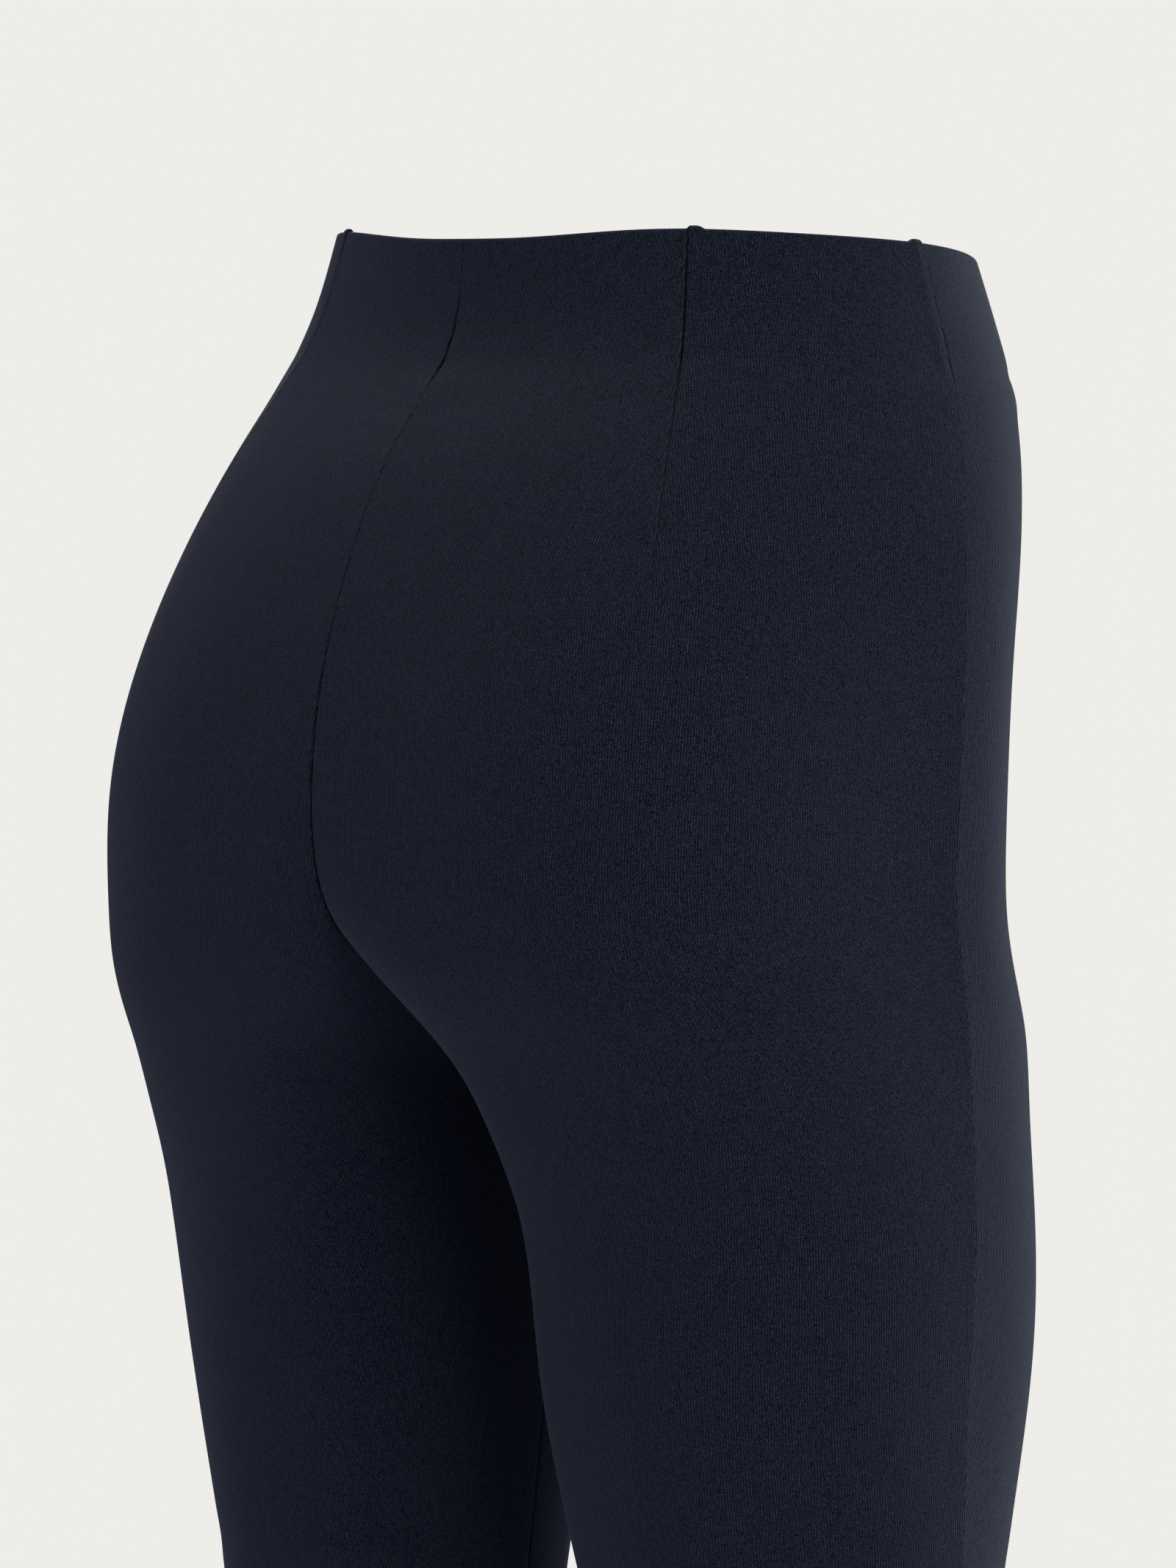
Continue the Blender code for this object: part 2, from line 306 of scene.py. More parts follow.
# ---- Knit: pitches, the slant of its loops, and the cloth taken in by each dart ----

WALE_PITCH = 0.98
COURSE_PITCH = 0.80
LOOP_SLANT = 0.9
DART_INTAKE = 55.0

# Unevenness of the knit: how many waves a metre, and how far the wales, the courses and the shade vary
WANDER_SCALE, WANDER = 70.0, 1.2
DRIFT_SCALE, DRIFT, SHAKE = 300.0, 1.6, 0.9
CLOUD_SCALE, CLOUD_SHADE, CLOUD_DETAIL = 60.0, 0.2, 3.0

# Painted shade and highlight of the wales' relief, random shade of each loop and of the fibres in it, with
# the fibre cells to a wale and a course
RELIEF_SHADE, RELIEF_MEAN = 1.7, 0.38
LOOP_SHADE, LOOP_CELLS = 0.3, (2.0, 1.0)
FIBRE_SHADE, FIBRE_CELLS = 3.0, (4.0, 3.0)
FIBRE_TINT = 0.6
DARKEST = 0.05
# How far the painted shadow in the slits of the seams and the dart darkens the cloth's colour
SEAM_SHADOW_STRENGTH = 0.9

# Bump: how much of a wale's height its courses make, the loops' and fibres' own heights, and its depth
COURSE_RELIEF, LOOP_RELIEF, FIBRE_RELIEF = 0.65, 0.1, 0.35
BUMP_STRENGTH, BUMP_DEPTH = 0.7, 0.28

# Faces that meet at a sharper turn than this keep a sharp edge between them
RIM_ANGLE = radians(60)

KNIT_SLOT = "navy_knit"
KNIT_COLOUR = (0.0070, 0.0102, 0.0215)
KNIT_FINISH = {
    "Roughness": 0.9,
    "Specular IOR Level": 0.04,
    "Sheen Weight": 0.215,
    "Sheen Roughness": 0.5,
    "Sheen Tint": (0.69, 0.787, 1.0, 1.0),
}

# Colour of the floor and of the backdrop
BACKDROP = (0.855, 0.847, 0.814)

# ---- Camera and lights: where the camera looks from, its target and the frame's width, in metres ----

TARGET = Vector((0.01888, 0.01888, -0.197))
AZIMUTH = radians(225)
STAND_OFF = 3.0
EYE_HEIGHT = -0.030
FRAME_WIDTH = 0.423
SENSOR_WIDTH = 36.0
FLOOR_DROP = 0.24
FLOOR_RADIUS = 2.9
FLOOR_CORNERS = 96

# Lamps: turn round the garment from its front and rise above its middle in degrees, power and tint
LAMP_COLUMNS = ("name", "turn", "rise", "power", "tint")
LAMPS = (
    ("right_back_high", 247, 20, 16.2, (1.08, 1.0, 0.84)),
    ("right_back_low", 247, -10, 6.3, (0.72, 1.0, 1.24)),
    ("right", 270, 20, 14.0, (0.96, 1.0, 0.78)),
    ("back", 180, 20, 6.6, (1.0, 1.0, 0.83)),
    ("left", 90, 20, 7.0, (1.0, 1.0, 1.0)),
    ("left_front", 45, 20, 36.0, (1.0, 1.0, 1.0)),
    ("front", 0, 20, 8.3, (1.0, 1.0, 1.0)),
)
LAMP_TARGET = (0.0, 0.02, -0.35)
LAMP_DISTANCE = 2.3
LAMP_WIDTH = 1.1

# Light on the floor alone, and colour of the surround that lights the garment evenly
FLOOR_LIGHT, FLOOR_LIGHT_ANGLE = 2.1, 80
SURROUND = (0.167, 0.167, 0.228)


def smooth_step(value):
    """Eased rise from 0 to 1 over the same stretch of the value."""
    value = np.clip(value, 0, 1)
    return value**2 * (3 - 2 * value)


def smooth_curve(knots, values, at):
    """Natural cubic curve through the knots, read at the given places."""
    knots, values, at = (np.asarray(numbers, float) for numbers in (knots, values, at))
    if knots[0] > knots[-1]:
        knots, at = -knots, -at
    count = len(knots)
    step = np.diff(knots)
    slope = np.diff(values) / step
    matrix = np.eye(count)
    load = np.zeros(count)
    for i in range(1, count - 1):
        matrix[i, i - 1 : i + 2] = (step[i - 1], 2 * (step[i - 1] + step[i]), step[i])
        load[i] = 6 * (slope[i] - slope[i - 1])
    bend = np.linalg.solve(matrix, load)
    k = np.clip(np.searchsorted(knots, at, side="right") - 1, 0, count - 2)
    t = at - knots[k]
    start_slope = slope[k] - step[k] * (2 * bend[k] + bend[k + 1]) / 6
    return values[k] + t * start_slope + bend[k] * t**2 / 2 + (bend[k + 1] - bend[k]) * t**3 / (6 * step[k])


def table_curve(columns, table, name, at):
    """A table's named column, read as a smooth curve over the table's first column."""
    rows = np.array(table, float)
    return smooth_curve(rows[:, 0], rows[:, columns.index(name)], at)


def sections_at(heights):
    """The section and corner tables, read at an array of heights."""
    found = {}
    for columns, table in ((SECTION_COLUMNS, SECTIONS), (CORNER_COLUMNS, CORNERS)):
        for name in columns[1:]:
            found[name] = table_curve(columns, table, name, heights)[:, None]
    return found


def loop_at(section, angle):
    """x and y of the loops at an angle: 0 is the outer side, 90 degrees the back, 180 the midline."""
    cosine, sine = np.cos(angle), np.sin(angle)
    outer, inner, front, back = (section[name] for name in ("outer", "inner", "front", "back"))
    x = (outer + inner) / 2 * cosine + (outer - inner) / 2 * cosine**2
    y = (back + front) / 2 * sine + (back - front) / 2 * sine**2
    bulge = 0
    for name, (sign_x, sign_y) in CORNER_SIGNS.items():
        weight = (1 + sign_x * sqrt(2) * cosine) * (1 + sign_y * sqrt(2) * sine) / 4
        bulge = bulge + section[name] / 100 * weight
    swell = 1 + bulge * np.sin(2 * angle) ** 2
    return section["centre_x"] + x * swell, section["centre_y"] + y * swell


def midline_angle(section, heights, sign):
    """Angle at which each loop reaches the midline; below the crotch, the inseam at half a turn."""
    low = np.full((len(heights), 1), pi / 3)
    high = np.full((len(heights), 1), pi)
    for _ in range(HALVINGS):
        middle = (low + high) / 2
        inside = loop_at(section, sign * middle)[0] > 0
        low = np.where(inside, middle, low)
        high = np.where(inside, high, middle)
    return np.where(heights[:, None] > -CROTCH_DEPTH, low, pi)


def arc_point(section, start, end, share):
    """Point at a share of the way along each loop's stretch between two angles, and its length."""
    angles = start + (end - start) * np.linspace(0, 1, ARC_STEPS + 1)
    x, y = loop_at(section, angles)
    travelled = np.cumsum(np.hypot(np.diff(x), np.diff(y)), axis=1)
    travelled = np.concatenate([np.zeros_like(start), travelled], axis=1)
    length = travelled[:, -1:]
    target = share[:, None] * length
    k = np.clip((travelled <= target).sum(axis=1, keepdims=True) - 1, 0, ARC_STEPS - 1)
    before, after = (np.take_along_axis(travelled, index, axis=1) for index in (k, k + 1))
    picked = start + (end - start) * (k + (target - before) / (after - before)) / ARC_STEPS
    return loop_at(section, picked), length[:, 0]


def surface(sign, heights, places):
    """Points of the left half, and the lengths of its core and fork arcs, in millimetres.

    Place 0 is the side seam, 1 the fork line and 2 the midline or inseam.
    """
    section = sections_at(heights)
    side, fork = (np.radians(section[name]) for name in ("side_turn", "fork_turn"))
    middle = midline_angle(section, heights, sign)
    (core_x, core_y), core_length = arc_point(section, side, sign * fork, np.minimum(places, 1))
    (fork_x, fork_y), fork_length = arc_point(section, sign * fork, sign * middle, np.maximum(places - 1, 0))
    in_fork = places > 1
    x = np.where(in_fork, fork_x[:, 0], core_x[:, 0])
    y = np.where(in_fork, fork_y[:, 0], core_y[:, 0])
    travelled = np.where(in_fork, core_length + (places - 1) * fork_length, places * core_length)
    around = sign * travelled / (core_length + fork_length)
    dip = table_curve(WAIST_COLUMNS, WAIST_EDGE, "dip", around) * smooth_step(1 + heights / WAIST_DIP_REACH)
    return np.stack([x, y, heights - dip], axis=1), core_length, fork_length


def row_levels():
    """Levels of the rows at the side seam and at the midline, and each row's turn into the fold."""
    fold = TURNED_THICKNESS / 2
    turns = np.radians(FOLD_ANGLES)
    top = list(-fold * (1 - np.sin(turns)))
    bottom = [-GARMENT_LENGTH - level for level in reversed(top)]
    waist = list(np.arange(-fold, TOP_LEVEL, -WAIST_ROW_STEP))
    torso = np.linspace(1, 0, TORSO_ROWS + 1)
    thigh = np.linspace(0, 1, THIGH_ROWS + 1)[1:]
    leg_top = -CROTCH_DEPTH - THIGH_REACH
    leg_bottom = -GARMENT_LENGTH + fold
    leg_rows = round((leg_top - leg_bottom) / LEG_ROW_STEP)
    leg = list(np.linspace(leg_top, leg_bottom, leg_rows + 1)[1:])
    levels = []
    for power in (1, 2):
        above = -CROTCH_DEPTH + (CROTCH_DEPTH + TOP_LEVEL) * torso**power
        below = -CROTCH_DEPTH - THIGH_REACH * thigh**power
        levels.append(np.array([*top, *waist, *above, *below, *leg, *bottom]))
    turn = np.zeros(len(levels[0]))
    turn[: len(turns)] = turns
    turn[-len(turns) :] = turns[::-1]
    return levels[0], levels[1], turn


def column_plan(sign):
    """Each column as a start place, a distance from it in mm, and whether the core or fork measures it.

    A start place is a number, or "dart" for the dart's own place on each row.
    """
    near = np.array(SEAM_STEPS)
    reach = near[-1]
    steps = CORE_STEPS
    plan = [(0, d, "core") for d in (-SEAM_LAP, *near)]
    if sign == BACK:
        before = round(steps * DART_SHARE)
        plan += [("span", 0, reach, "dart", -reach, k / before) for k in range(1, before)]
        plan += [("dart", d, "core") for d in (*-near[::-1], 0, *near)]
        after = steps - before
        plan += [("span", "dart", reach, 1, 0, k / after) for k in range(1, after)]
    else:
        plan += [("span", 0, reach, 1, 0, k / steps) for k in range(1, steps)]
    plan += [("fork_span", k / FORK_STEPS) for k in range(FORK_STEPS)]
    plan += [(2, -d, "fork") for d in (*near[::-1], -SEAM_LAP)]
    return plan


def places_of(plan, core, fork, dart):
    """Place of every column of the plan, from the arc lengths at its own points."""
    places = np.empty_like(core)
    for j, entry in enumerate(plan):
        if entry[0] == "span":
            start, start_mm, end, end_mm, share = (dart if part == "dart" else part for part in entry[1:])
            first, last = start + start_mm / core[:, j], end + end_mm / core[:, j]
            places[:, j] = first + (last - first) * share
        elif entry[0] == "fork_span":
            places[:, j] = 1 + (1 - SEAM_STEPS[-1] / fork[:, j]) * entry[1]
        else:
            start, distance, part = entry
            start = dart if start == "dart" else start
            places[:, j] = start + distance / (core if part == "core" else fork)[:, j]
    return places


def unit(vectors):
    """Vectors of length 1 in the same directions."""
    return vectors / np.maximum(np.linalg.norm(vectors, axis=-1, keepdims=True), 1e-9)


def panel_form(sign, side):
    """The panel's smooth form on its grid, for the left half: points, normals and distances in mm."""
    side_level, middle_level, turn = row_levels()
    plan = column_plan(sign)
    shape = (len(side_level), len(plan))
    last_knot = DART_LINE[-1][0]
    dart = table_curve(DART_COLUMNS, DART_LINE, side, np.clip(side_level, last_knot, 0))
    heights = np.repeat(side_level[:, None], shape[1], axis=1)
    lengths = surface(sign, heights.ravel(), np.ones(heights.size))[1:]
    core, fork = (length.reshape(shape) for length in lengths)
    for _ in range(PLACE_ROUNDS):
        places = places_of(plan, core, fork, dart)
        fan = smooth_step(places - FAN_START)
        heights = side_level[:, None] + (middle_level - side_level)[:, None] * fan
        points, core, fork = surface(sign, heights.ravel(), places.ravel())
        core, fork = core.reshape(shape), fork.reshape(shape)
    points = points.reshape(*shape, 3)
    down = np.gradient(points, axis=0)
    down[-1] = down[-2]
    along = np.gradient(points, axis=1)
    normals = unit(np.cross(down, along)) * sign
    travelled = np.where(places > 1, core + (places - 1) * fork, places * core)
    return {
        "points": points,
        "normals": normals,
        "heights": heights,
        "turn": turn,
        "from_side": travelled,
        "from_middle": core + fork - travelled,
        "from_dart": travelled - dart[:, None] * core,
        "dart_column": [k for k, entry in enumerate(plan) if entry[0] == "dart" and entry[1] == 0],
    }


def wall(heights):
    """Thickness of the cloth: doubled where it is turned in."""
    at_waist = np.clip((heights + WAIST_TURN_DEPTH + TURN_STEP) / TURN_STEP, 0, 1)
    at_hem = np.clip((HEM_TURN_DEPTH + TURN_STEP - GARMENT_LENGTH - heights) / TURN_STEP, 0, 1)
    return CLOTH_THICKNESS + (TURNED_THICKNESS - CLOTH_THICKNESS) * np.maximum(at_waist, at_hem)


def rolled_edge(distance, radius):
    """Drop of a cloth edge that rolls into a seam on a quarter round, with a shallow dip beyond it."""
    inside = np.clip(radius - np.abs(distance), 0, None)
    round_drop = radius - np.sqrt(np.clip(radius**2 - inside**2, 0, None))
    return round_drop + ROLL_DIP * radius * np.exp(-((distance / (ROLL_DIP_REACH * radius)) ** 2))


def slit_depth(name, distance, heights):
    """Depth of the narrow slit along a named seam, at a distance from it."""
    slits = np.array(SLITS, float)
    depth = np.interp(-heights, -slits[:, 0], slits[:, SLIT_COLUMNS.index(name)])
    return depth * (1 - np.clip(np.abs(distance) / SLIT_REACH, 0, 1) ** 2)


def seam_profile(name, distance, heights):
    """Drop of the cloth at a distance from a named seam: its rolled edge and the slit in its middle."""
    rolls = np.array(SEAM_ROLLS, float)
    radius = np.interp(-heights, -rolls[:, 0], rolls[:, ROLL_COLUMNS.index(name)])
    return rolled_edge(distance, radius) + slit_depth(name, distance, heights)


def painted_seam_shadow(form, sign):
    """Painted shadow in the slits of its seams and dart, from 0 to 1, fuller where the slits are deeper."""
    heights = form["heights"]
    depth = slit_depth("side_seam", form["from_side"], heights)
    depth = np.maximum(depth, slit_depth("waist_seam", form["from_middle"], heights))
    if sign == BACK:
        depth = np.maximum(depth, slit_depth("dart", form["from_dart"], heights) * dart_fade(heights))
    return np.clip(depth / SLIT_FOR_FULL_SHADOW, 0, 1)


def seam_drop(form, sign):
    """Drop of the cloth at its seams and at the dart; past a seam, the edge laps under its neighbour."""
    heights, from_side, from_middle = form["heights"], form["from_side"], form["from_middle"]
    drop = seam_profile("side_seam", np.maximum(from_side, 0), heights)
    drop = np.maximum(drop, seam_profile("waist_seam", np.maximum(from_middle, 0), heights))
    drop = drop + LAP_SLOPE * np.maximum(-from_side, 0) + LAP_SLOPE * np.maximum(-from_middle, 0)
    if sign == BACK:
        drop = np.maximum(drop, seam_profile("dart", form["from_dart"], heights) * dart_fade(heights))
    return drop


def dart_fade(heights, reach=DART_FADE):
    """1 along the dart, easing to 0 at its point."""
    return smooth_step((DART_LENGTH + heights) / reach)


def soft_hump(distance, width):
    """Bell-shaped hump, 1 at no distance."""
    return np.exp(-((distance / width) ** 2))


def seam_relief(form, sign):
    """How far the cloth stands out beside its seams and the dart."""
    heights, from_side, past_dart = form["heights"], form["from_side"], form["from_dart"]
    rows = np.array(RIDGES, float)
    ridge = {name: np.interp(-heights, -rows[:, 0], rows[:, k]) for k, name in enumerate(RIDGE_COLUMNS)}
    relief = ridge["side"] * np.exp(-from_side / RIDGE_REACH)
    if sign == BACK:
        relief += ridge["middle"] * np.exp(-form["from_middle"] / RIDGE_REACH)
        point = dart_fade(heights, DART_POINT)
        relief += ridge["dart"] * point * np.exp(-np.abs(past_dart) / RIDGE_REACH)
        turned = smooth_step((heights + WAIST_TURN_DEPTH + 2 * TURN_STEP) / TURN_STEP)
        relief += TURN_WELT * turned * soft_hump(from_side - TURN_WELT_PLACE, TURN_WELT_WIDTH)
        step = np.sign(past_dart) * np.exp(-np.abs(past_dart) / DART_STEP_REACH)
        welt = soft_hump(past_dart + DART_WELT_PLACE, DART_WELT_WIDTH)
        relief += (DART_STEP * step + DART_WELT * welt) * dart_fade(heights, DART_POINT)
    return relief


def waist_kink(form, sign):
    """Kink of the cloth at the end of the turned-in waist, full at the front and slight at the back."""
    around = sign * form["from_side"] / (form["from_side"] + form["from_middle"])
    share = KINK_AT_BACK + (1 - KINK_AT_BACK) * smooth_step(KINK_END - around)
    if sign == BACK:
        share = share + KINK_AT_MIDDLE * soft_hump(form["from_middle"], KINK_REACH)
    kink = 0
    for row in KINKS:
        bend = dict(zip(KINK_COLUMNS, row))
        kink = kink + bend["depth"] * soft_hump(form["heights"] - bend["height"], bend["width"])
    return share * kink


def crease_push(sign, side, form):
    """How far the creases of one side push the cloth out, at every point of the panel's grid."""
    points = form["points"]
    push = np.zeros(points.shape[:2])
    for row in CREASES:
        crease = dict(zip(CREASE_COLUMNS, row))
        if crease["side"] != side:
            continue
        share = np.linspace(0, 1, CREASE_STEPS)
        places = crease["place"] + (crease["end_place"] - crease["place"]) * share
        heights = crease["height"] + (crease["end_height"] - crease["height"]) * share
        path = surface(crease["panel"], heights + crease["bow"] * np.sin(pi * share), places)[0]
        reach = CREASE_REACH * crease["width"]
        near = ((points > path.min(axis=0) - reach) & (points < path.max(axis=0) + reach)).all(axis=2)
        spots = points[near]
        if not len(spots):
            continue
        nearest = np.full(len(spots), np.inf)
        along = np.zeros(len(spots))
        for k, (start, end) in enumerate(zip(path[:-1], path[1:])):
            step = end - start
            t = np.clip((spots - start) @ step / (step @ step), 0, 1)
            distance = np.linalg.norm(spots - start - t[:, None] * step, axis=1)
            closer = distance < nearest
            nearest[closer] = distance[closer]
            along[closer] = (k + t[closer]) / (CREASE_STEPS - 1)
        taper = np.sin(pi * np.clip(along, 0, 1)) ** CREASE_TAPER
        push[near] += crease["depth"] * taper * np.exp(-((nearest / crease["width"]) ** 2))
    return push * smooth_step(form["from_middle"] / (CREASE_SEAM_REACH * SEAM_STEPS[-1]))


def wave_push(points):
    """Slow unevenness of the cloth, as a few waves that run through the whole garment."""
    draw = np.random.default_rng(WAVE_SEED)
    push = np.zeros(points.shape[:2])
    for _ in range(WAVES):
        direction = unit(draw.normal(size=3))
        turn = 2 * pi / draw.uniform(*WAVE_LENGTHS)
        push += np.sin(points @ direction * turn + draw.uniform(0, 2 * pi))
    return push * WAVE_DEPTH / sqrt(WAVES)


def edge_nubs(sign, form):
    """How far the waist edge stands up beside a seam or dart, where the turned-in layers end."""

    def nub(distance):
        return smooth_step(distance / NUB_EDGE + 0.5) * smooth_step((NUB_WIDTH - distance) / NUB_EDGE + 0.5)

    rise = nub(form["from_side"]) * (sign == BACK)
    if sign == BACK:
        rise = rise + nub(-form["from_dart"])
    return NUB_HEIGHT * rise * np.exp(form["heights"] / NUB_REACH)


def grain_of(sign, form):
    """Metres across and along the wales, as the cloth has it before the dart line and after it."""
    heights = form["heights"]
    intake = DART_INTAKE / 2 * np.clip(1 + heights / DART_LENGTH, 0, 1) * (sign == BACK)
    across = [form["from_dart"] - intake, form["from_dart"] + intake]
    return [np.stack([part, -heights], axis=-1) * MM for part in across]


def shell_object(name, outer, inner, shade, grain, split, reverse):
    """Closed thin shell between two grids that share their first and last rows, with the grain as UVs."""
    rows, columns = outer.shape[:2]
    index = np.arange(rows * columns).reshape(rows, columns)
    under = index.copy()
    under[1:-1] = rows * columns + np.arange((rows - 2) * columns).reshape(rows - 2, columns)
    vertices = np.concatenate([outer.reshape(-1, 3), inner[1:-1].reshape(-1, 3)])
    before, after = grain
    past_split = (np.arange(columns - 1) >= split)[None, :, None]

    def corners(grid):
        return [grid[:-1, :-1], grid[1:, :-1], grid[1:, 1:], grid[:-1, 1:]]

    def ring(parts, flip):
        return np.stack(parts[::-1] if flip else parts, axis=2)

    grains = [np.where(past_split, late, early) for early, late in zip(corners(before), corners(after))]
    faces, places = [], []
    for grid, flip in ((index, reverse), (under, not reverse)):
        faces += ring(corners(grid), flip).reshape(-1, 4).tolist()
        places.append(ring(grains, flip).reshape(-1, 2))
    for column, chosen, flip in ((0, before, reverse), (-1, after, not reverse)):
        over, below, grain_row = index[:, column], under[:, column], chosen[:, column]
        for i in range(rows - 1):
            rim = [(over[i], i), (below[i], i), (below[i + 1], i + 1), (over[i + 1], i + 1)]
            # the faces share the first and last rows, so the rim starts and ends with a triangle
            if i == 0:
                rim.pop(1)
            if i == rows - 2:
                rim.pop(2)
            rim = rim[::-1] if flip else rim
            faces.append([int(vertex) for vertex, _ in rim])
            places.append(grain_row[[row for _, row in rim]])
    mesh = bpy.data.meshes.new(name)
    mesh.from_pydata((vertices * MM).tolist(), [], faces)
    # Painted shadow of the seams' slits, kept on the points to darken the cloth's colour
    painted_shadow = mesh.attributes.new("painted_seam_shadow", "FLOAT", "POINT")
    painted_shadow.data.foreach_set("value", np.concatenate([shade.ravel(), shade[1:-1].ravel()]).astype(np.float32))
    layer = mesh.uv_layers.new(name="grain")
    layer.data.foreach_set("uv", np.concatenate(places).ravel().astype(np.float32))
    mesh.shade_smooth()
    mesh.set_sharp_from_angle(angle=RIM_ANGLE)
    piece = bpy.data.objects.new(name, mesh)
    bpy.context.scene.collection.objects.link(piece)
    return piece


def build_panel(kind, side, knit):
    """One panel's shell: its form, pushed by creases and seams, with both faces on one grid."""
    sign = BACK if kind == "back" else FRONT
    form = panel_form(sign, side)
    flip = 1 if side == "left" else -1
    mirror = np.array((flip, 1, 1))
    heights, normals = form["heights"], form["normals"]
    thickness = wall(heights)
    swell = crease_push(sign, side, form) + wave_push(form["points"] * mirror)
    swell += seam_relief(form, sign) + waist_kink(form, sign)
    swell += TURN_RIDGE * smooth_step((heights + WAIST_TURN_DEPTH + TURN_STEP) / TURN_STEP)
    above_hem = heights + GARMENT_LENGTH - HEM_TURN_DEPTH
    swell -= HEM_DENT * soft_hump(above_hem, HEM_DENT_WIDTH)
    drop = np.minimum(seam_drop(form, sign), thickness - LEAST_THICKNESS)
    roll = (TURNED_THICKNESS / 2 * (1 - np.cos(form["turn"])))[:, None]
    base = form["points"].copy()
    base[..., 2] += edge_nubs(sign, form) + EDGE_LIFT * smooth_step(1 + heights / EDGE_LIFT_REACH)
    # the seams leave the crest of the fold alone, so that the two faces meet there
    on_crest = np.isclose(np.cos(form["turn"]), 0)[:, None]
    lowered = np.where(on_crest, 0, drop)
    outer = base + normals * (swell - lowered - roll)[..., None]
    inner = base + normals * (swell - thickness + roll)[..., None]
    above_crotch = heights[:, -1] > -CROTCH_DEPTH
    for grid in (outer, inner):
        grid[..., 0] = np.maximum(grid[..., 0], -SEAM_LAP)
        grid[above_crotch, -1, 0] = -SEAM_LAP
    split = form["dart_column"][0] if form["dart_column"] else 0
    name = f"{kind}_panel_{side}"
    shade, grain = painted_seam_shadow(form, sign), grain_of(sign, form)
    piece = shell_object(name, outer * mirror, inner * mirror, shade, grain, split, sign * flip < 0)
    piece.data.materials.append(knit)
    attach(piece, "root")
    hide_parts(f"{kind}_{side}")


def node(tree, kind, *values, output=0, **settings):
    """A node with its settings, and its first inputs linked to sockets or set to numbers; one output."""
    made = tree.nodes.new(kind)
    for name, value in settings.items():
        setattr(made, name, value)
    for socket, value in zip(made.inputs, values):
        if isinstance(value, bpy.types.NodeSocket):
            tree.links.new(value, socket)
        elif value is not None:
            socket.default_value = value
    return made.outputs[output]


def calculate(tree, operation, *values):
    """The result of one sum, with sockets or numbers as its values."""
    return node(tree, "ShaderNodeMath", *values, operation=operation)


def noise(tree, where, scale, detail=2.0):
    """Smooth noise from 0 to 1, with so many waves a metre."""
    made = tree.nodes.new("ShaderNodeTexNoise")
    tree.links.new(where, made.inputs["Vector"])
    made.inputs["Scale"].default_value = scale
    made.inputs["Detail"].default_value = detail
    return made.outputs["Fac"]


def spread(tree, value, amount):
    """The value's distance from one half, times an amount."""
    return calculate(tree, "MULTIPLY", calculate(tree, "SUBTRACT", value, 0.5), amount)


def chance(tree, wale, course, wale_cells, course_cells):
    """A random value for each cell of the knit, with so many cells to a wale and to a course."""
    cell = tree.nodes.new("ShaderNodeCombineXYZ")
    for socket, value, cells in zip(cell.inputs, (wale, course), (wale_cells, course_cells)):
        tree.links.new(calculate(tree, "FLOOR", calculate(tree, "MULTIPLY", value, cells)), socket)
    made = tree.nodes.new("ShaderNodeTexWhiteNoise")
    made.noise_dimensions = "2D"
    tree.links.new(cell.outputs[0], made.inputs["Vector"])
    return made.outputs["Value"]


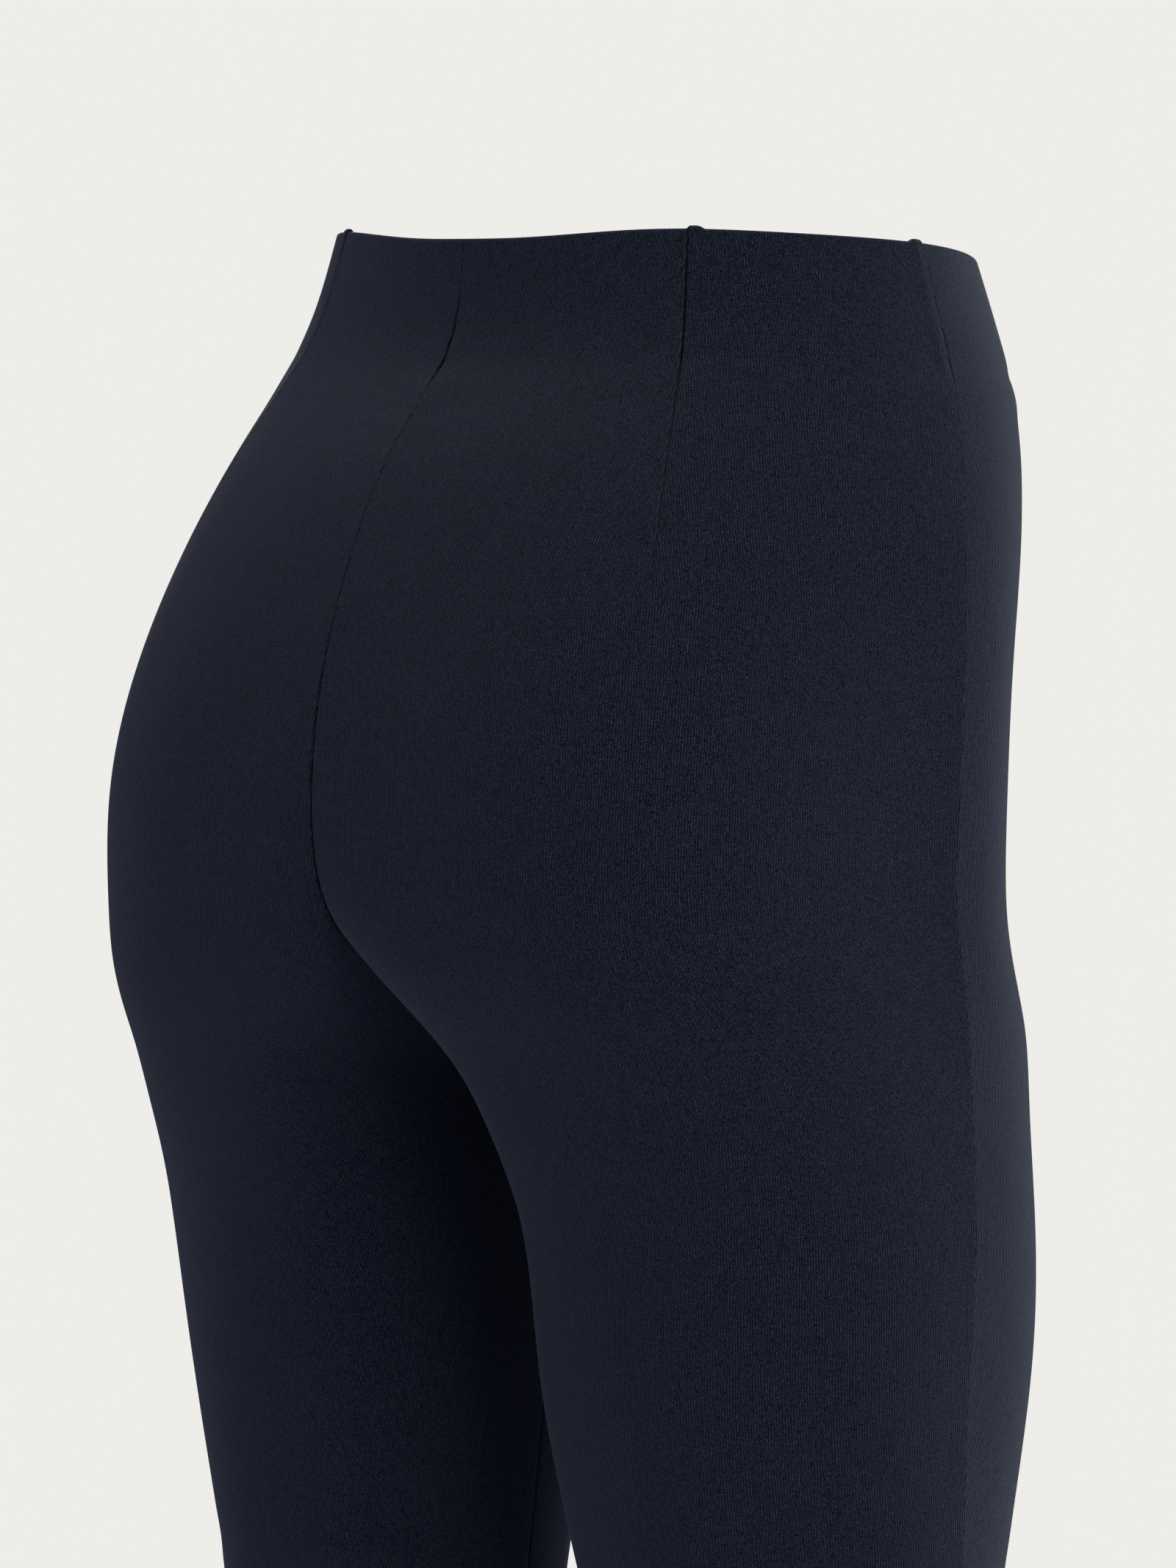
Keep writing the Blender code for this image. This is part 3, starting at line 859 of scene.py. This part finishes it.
def knit_material():
    """Navy double knit: wales of slanted half-loops, each a little lighter or darker, and a dull sheen."""
    material = bpy.data.materials.new(KNIT_SLOT)
    material.use_nodes = True
    tree = material.node_tree
    shader = tree.nodes["Principled BSDF"]
    grain = node(tree, "ShaderNodeUVMap", uv_map="grain")
    split = tree.nodes.new("ShaderNodeSeparateXYZ")
    tree.links.new(grain, split.inputs[0])
    across, along = split.outputs[0], split.outputs[1]
    where = node(tree, "ShaderNodeTexCoord", output=3)

    drift = noise(tree, where, DRIFT_SCALE)
    wander = spread(tree, noise(tree, where, WANDER_SCALE), WANDER)
    wander = calculate(tree, "ADD", wander, spread(tree, drift, SHAKE))
    wale = calculate(tree, "MULTIPLY_ADD", across, 1 / (WALE_PITCH * MM), wander)
    from_rib = calculate(tree, "ABSOLUTE", calculate(tree, "SUBTRACT", calculate(tree, "FRACT", wale), 0.5))
    rib = calculate(tree, "POWER", calculate(tree, "SINE", calculate(tree, "MULTIPLY", wale, pi)), 2.0)
    slanted = calculate(tree, "MULTIPLY_ADD", from_rib, LOOP_SLANT, spread(tree, drift, DRIFT))
    course = calculate(tree, "MULTIPLY_ADD", along, 1 / (COURSE_PITCH * MM), slanted)
    loop = calculate(tree, "SINE", calculate(tree, "MULTIPLY", course, pi))
    loop = calculate(tree, "ABSOLUTE", loop)

    loop_chance = chance(tree, wale, course, *LOOP_CELLS)
    fibre_chance = chance(tree, wale, course, *FIBRE_CELLS)
    fibre_tint = fibre_chance.node.outputs["Color"]

    courses = calculate(tree, "MULTIPLY_ADD", loop, COURSE_RELIEF, 1 - COURSE_RELIEF)
    relief = calculate(tree, "MULTIPLY", rib, courses)
    height = calculate(tree, "MULTIPLY_ADD", loop_chance, LOOP_RELIEF, relief)
    height = calculate(tree, "MULTIPLY_ADD", fibre_chance, FIBRE_RELIEF, height)
    bump = tree.nodes.new("ShaderNodeBump")
    bump.inputs["Strength"].default_value = BUMP_STRENGTH
    bump.inputs["Distance"].default_value = BUMP_DEPTH * MM
    tree.links.new(height, bump.inputs["Height"])
    tree.links.new(bump.outputs["Normal"], shader.inputs["Normal"])

    loops, fibres = spread(tree, loop_chance, LOOP_SHADE), spread(tree, fibre_chance, FIBRE_SHADE)
    yarn = calculate(tree, "ADD", loops, fibres)
    cloud = noise(tree, where, CLOUD_SCALE, CLOUD_DETAIL)
    yarn = calculate(tree, "ADD", yarn, spread(tree, cloud, CLOUD_SHADE))
    yarn = calculate(tree, "MAXIMUM", calculate(tree, "ADD", yarn, 1.0), DARKEST)
    # Painted shade and highlight of the knit's relief: the colour is lighter on the wales' crests and in the
    # middle of each loop, and darker between them; the bump gives the same relief to the normals
    lit = calculate(tree, "MULTIPLY_ADD", relief, RELIEF_SHADE, 1 - RELIEF_SHADE * RELIEF_MEAN)
    # Painted shadow: the cloth's colour is darkened in the slits of the seams and the dart, where shade
    # falls
    painted_shadow = node(tree, "ShaderNodeAttribute", output=2, attribute_name="painted_seam_shadow")
    seam_shadow_factor = calculate(tree, "MULTIPLY_ADD", painted_shadow, -SEAM_SHADOW_STRENGTH, 1.0)
    shade = calculate(tree, "MULTIPLY", calculate(tree, "MULTIPLY", yarn, lit), seam_shadow_factor)
    heather = node(
        tree, "ShaderNodeVectorMath", fibre_tint, (FIBRE_TINT,) * 3, (1 - FIBRE_TINT / 2,) * 3,
        operation="MULTIPLY_ADD",
    )
    tint = node(tree, "ShaderNodeVectorMath", heather, KNIT_COLOUR, operation="MULTIPLY")
    tint = node(tree, "ShaderNodeVectorMath", tint, operation="SCALE")
    tree.links.new(shade, tint.node.inputs["Scale"])
    tree.links.new(tint, shader.inputs["Base Color"])

    for name, value in KNIT_FINISH.items():
        shader.inputs[name].default_value = value
    return material


def build_stage():
    """Plain pale floor under the hanging garment, in the backdrop's own colour."""
    floor_height = -(GARMENT_LENGTH * MM + FLOOR_DROP)
    mesh = bpy.data.meshes.new("floor")
    turns = [2 * pi * k / FLOOR_CORNERS for k in range(FLOOR_CORNERS)]
    ring = [(FLOOR_RADIUS * cos(turn), FLOOR_RADIUS * sin(turn), floor_height) for turn in turns]
    mesh.from_pydata(ring, [], [list(range(FLOOR_CORNERS))])
    floor = bpy.data.objects.new("floor", mesh)
    paint = bpy.data.materials.new("floor_paint")
    paint.use_nodes = True
    shader = paint.node_tree.nodes["Principled BSDF"]
    shader.inputs["Base Color"].default_value = (*BACKDROP, 1.0)
    shader.inputs["Roughness"].default_value = 1.0
    shader.inputs["Specular IOR Level"].default_value = 0.0
    mesh.materials.append(paint)
    bpy.context.scene.collection.objects.link(floor)
    floor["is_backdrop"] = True
    return floor


def build_world():
    """Pale backdrop for the camera, and a dim bluish surround that lights the garment from all sides."""
    world = bpy.data.worlds.new("studio")
    bpy.context.scene.world = world
    world.use_nodes = True
    tree = world.node_tree
    backdrop = tree.nodes["Background"]
    backdrop.inputs["Color"].default_value = (*BACKDROP, 1.0)
    light = tree.nodes.new("ShaderNodeBackground")
    light.inputs["Color"].default_value = (*SURROUND, 1.0)
    light.inputs["Strength"].default_value = 1.0
    seen = node(tree, "ShaderNodeLightPath")
    mix = tree.nodes.new("ShaderNodeMixShader")
    tree.links.new(seen, mix.inputs[0])
    tree.links.new(light.outputs[0], mix.inputs[1])
    tree.links.new(backdrop.outputs[0], mix.inputs[2])
    tree.links.new(mix.outputs[0], tree.nodes["World Output"].inputs[0])


def aim(thing, place, target):
    """Puts a lamp or the camera in its place, facing the target."""
    thing.location = place
    thing.rotation_euler = (Vector(target) - Vector(place)).to_track_quat("-Z", "Y").to_euler()


def build_camera():
    elevation = atan2(EYE_HEIGHT - TARGET.z, STAND_OFF)
    distance = STAND_OFF / cos(elevation)
    back = Vector((sin(AZIMUTH) * cos(elevation), -cos(AZIMUTH) * cos(elevation), sin(elevation)))
    data = bpy.data.cameras.new("camera")
    data.sensor_fit = "HORIZONTAL"
    data.sensor_width = SENSOR_WIDTH
    data.lens = SENSOR_WIDTH * distance / FRAME_WIDTH
    camera = bpy.data.objects.new("camera", data)
    bpy.context.scene.collection.objects.link(camera)
    aim(camera, TARGET + back * distance, TARGET)
    bpy.context.scene.camera = camera


def build_lights(floor):
    """Soft round lamps on the garment alone, and a wide even light on the floor alone."""
    scene = bpy.context.scene
    garment, ground = (bpy.data.collections.new(name) for name in ("lit_by_lamps", "lit_from_above"))
    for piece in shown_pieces():
        garment.objects.link(piece)
    ground.objects.link(floor)
    middle = Vector(LAMP_TARGET)
    for row in LAMPS:
        lamp = dict(zip(LAMP_COLUMNS, row))
        data = bpy.data.lights.new(lamp["name"], "AREA")
        data.shape = "DISK"
        data.size = LAMP_WIDTH
        data.energy = lamp["power"]
        data.color = lamp["tint"]
        light = bpy.data.objects.new(lamp["name"], data)
        scene.collection.objects.link(light)
        turn, rise = radians(lamp["turn"]), radians(lamp["rise"])
        direction = Vector((sin(turn) * cos(rise), -cos(turn) * cos(rise), sin(rise)))
        aim(light, middle + direction * LAMP_DISTANCE, middle)
        light.light_linking.receiver_collection = garment
    data = bpy.data.lights.new("floor_light", "SUN")
    data.energy = FLOOR_LIGHT
    data.angle = radians(FLOOR_LIGHT_ANGLE)
    light = bpy.data.objects.new("floor_light", data)
    scene.collection.objects.link(light)
    light.light_linking.receiver_collection = ground
    floor.visible_diffuse = False


def build_scene():
    bpy.context.scene.view_settings.view_transform = "Standard"
    build_camera()
    knit = knit_material()
    for kind in ("front", "back"):
        for side in ("left", "right"):
            build_panel(kind, side, knit)
    floor = build_stage()
    build_world()
    build_lights(floor)


build_scene()
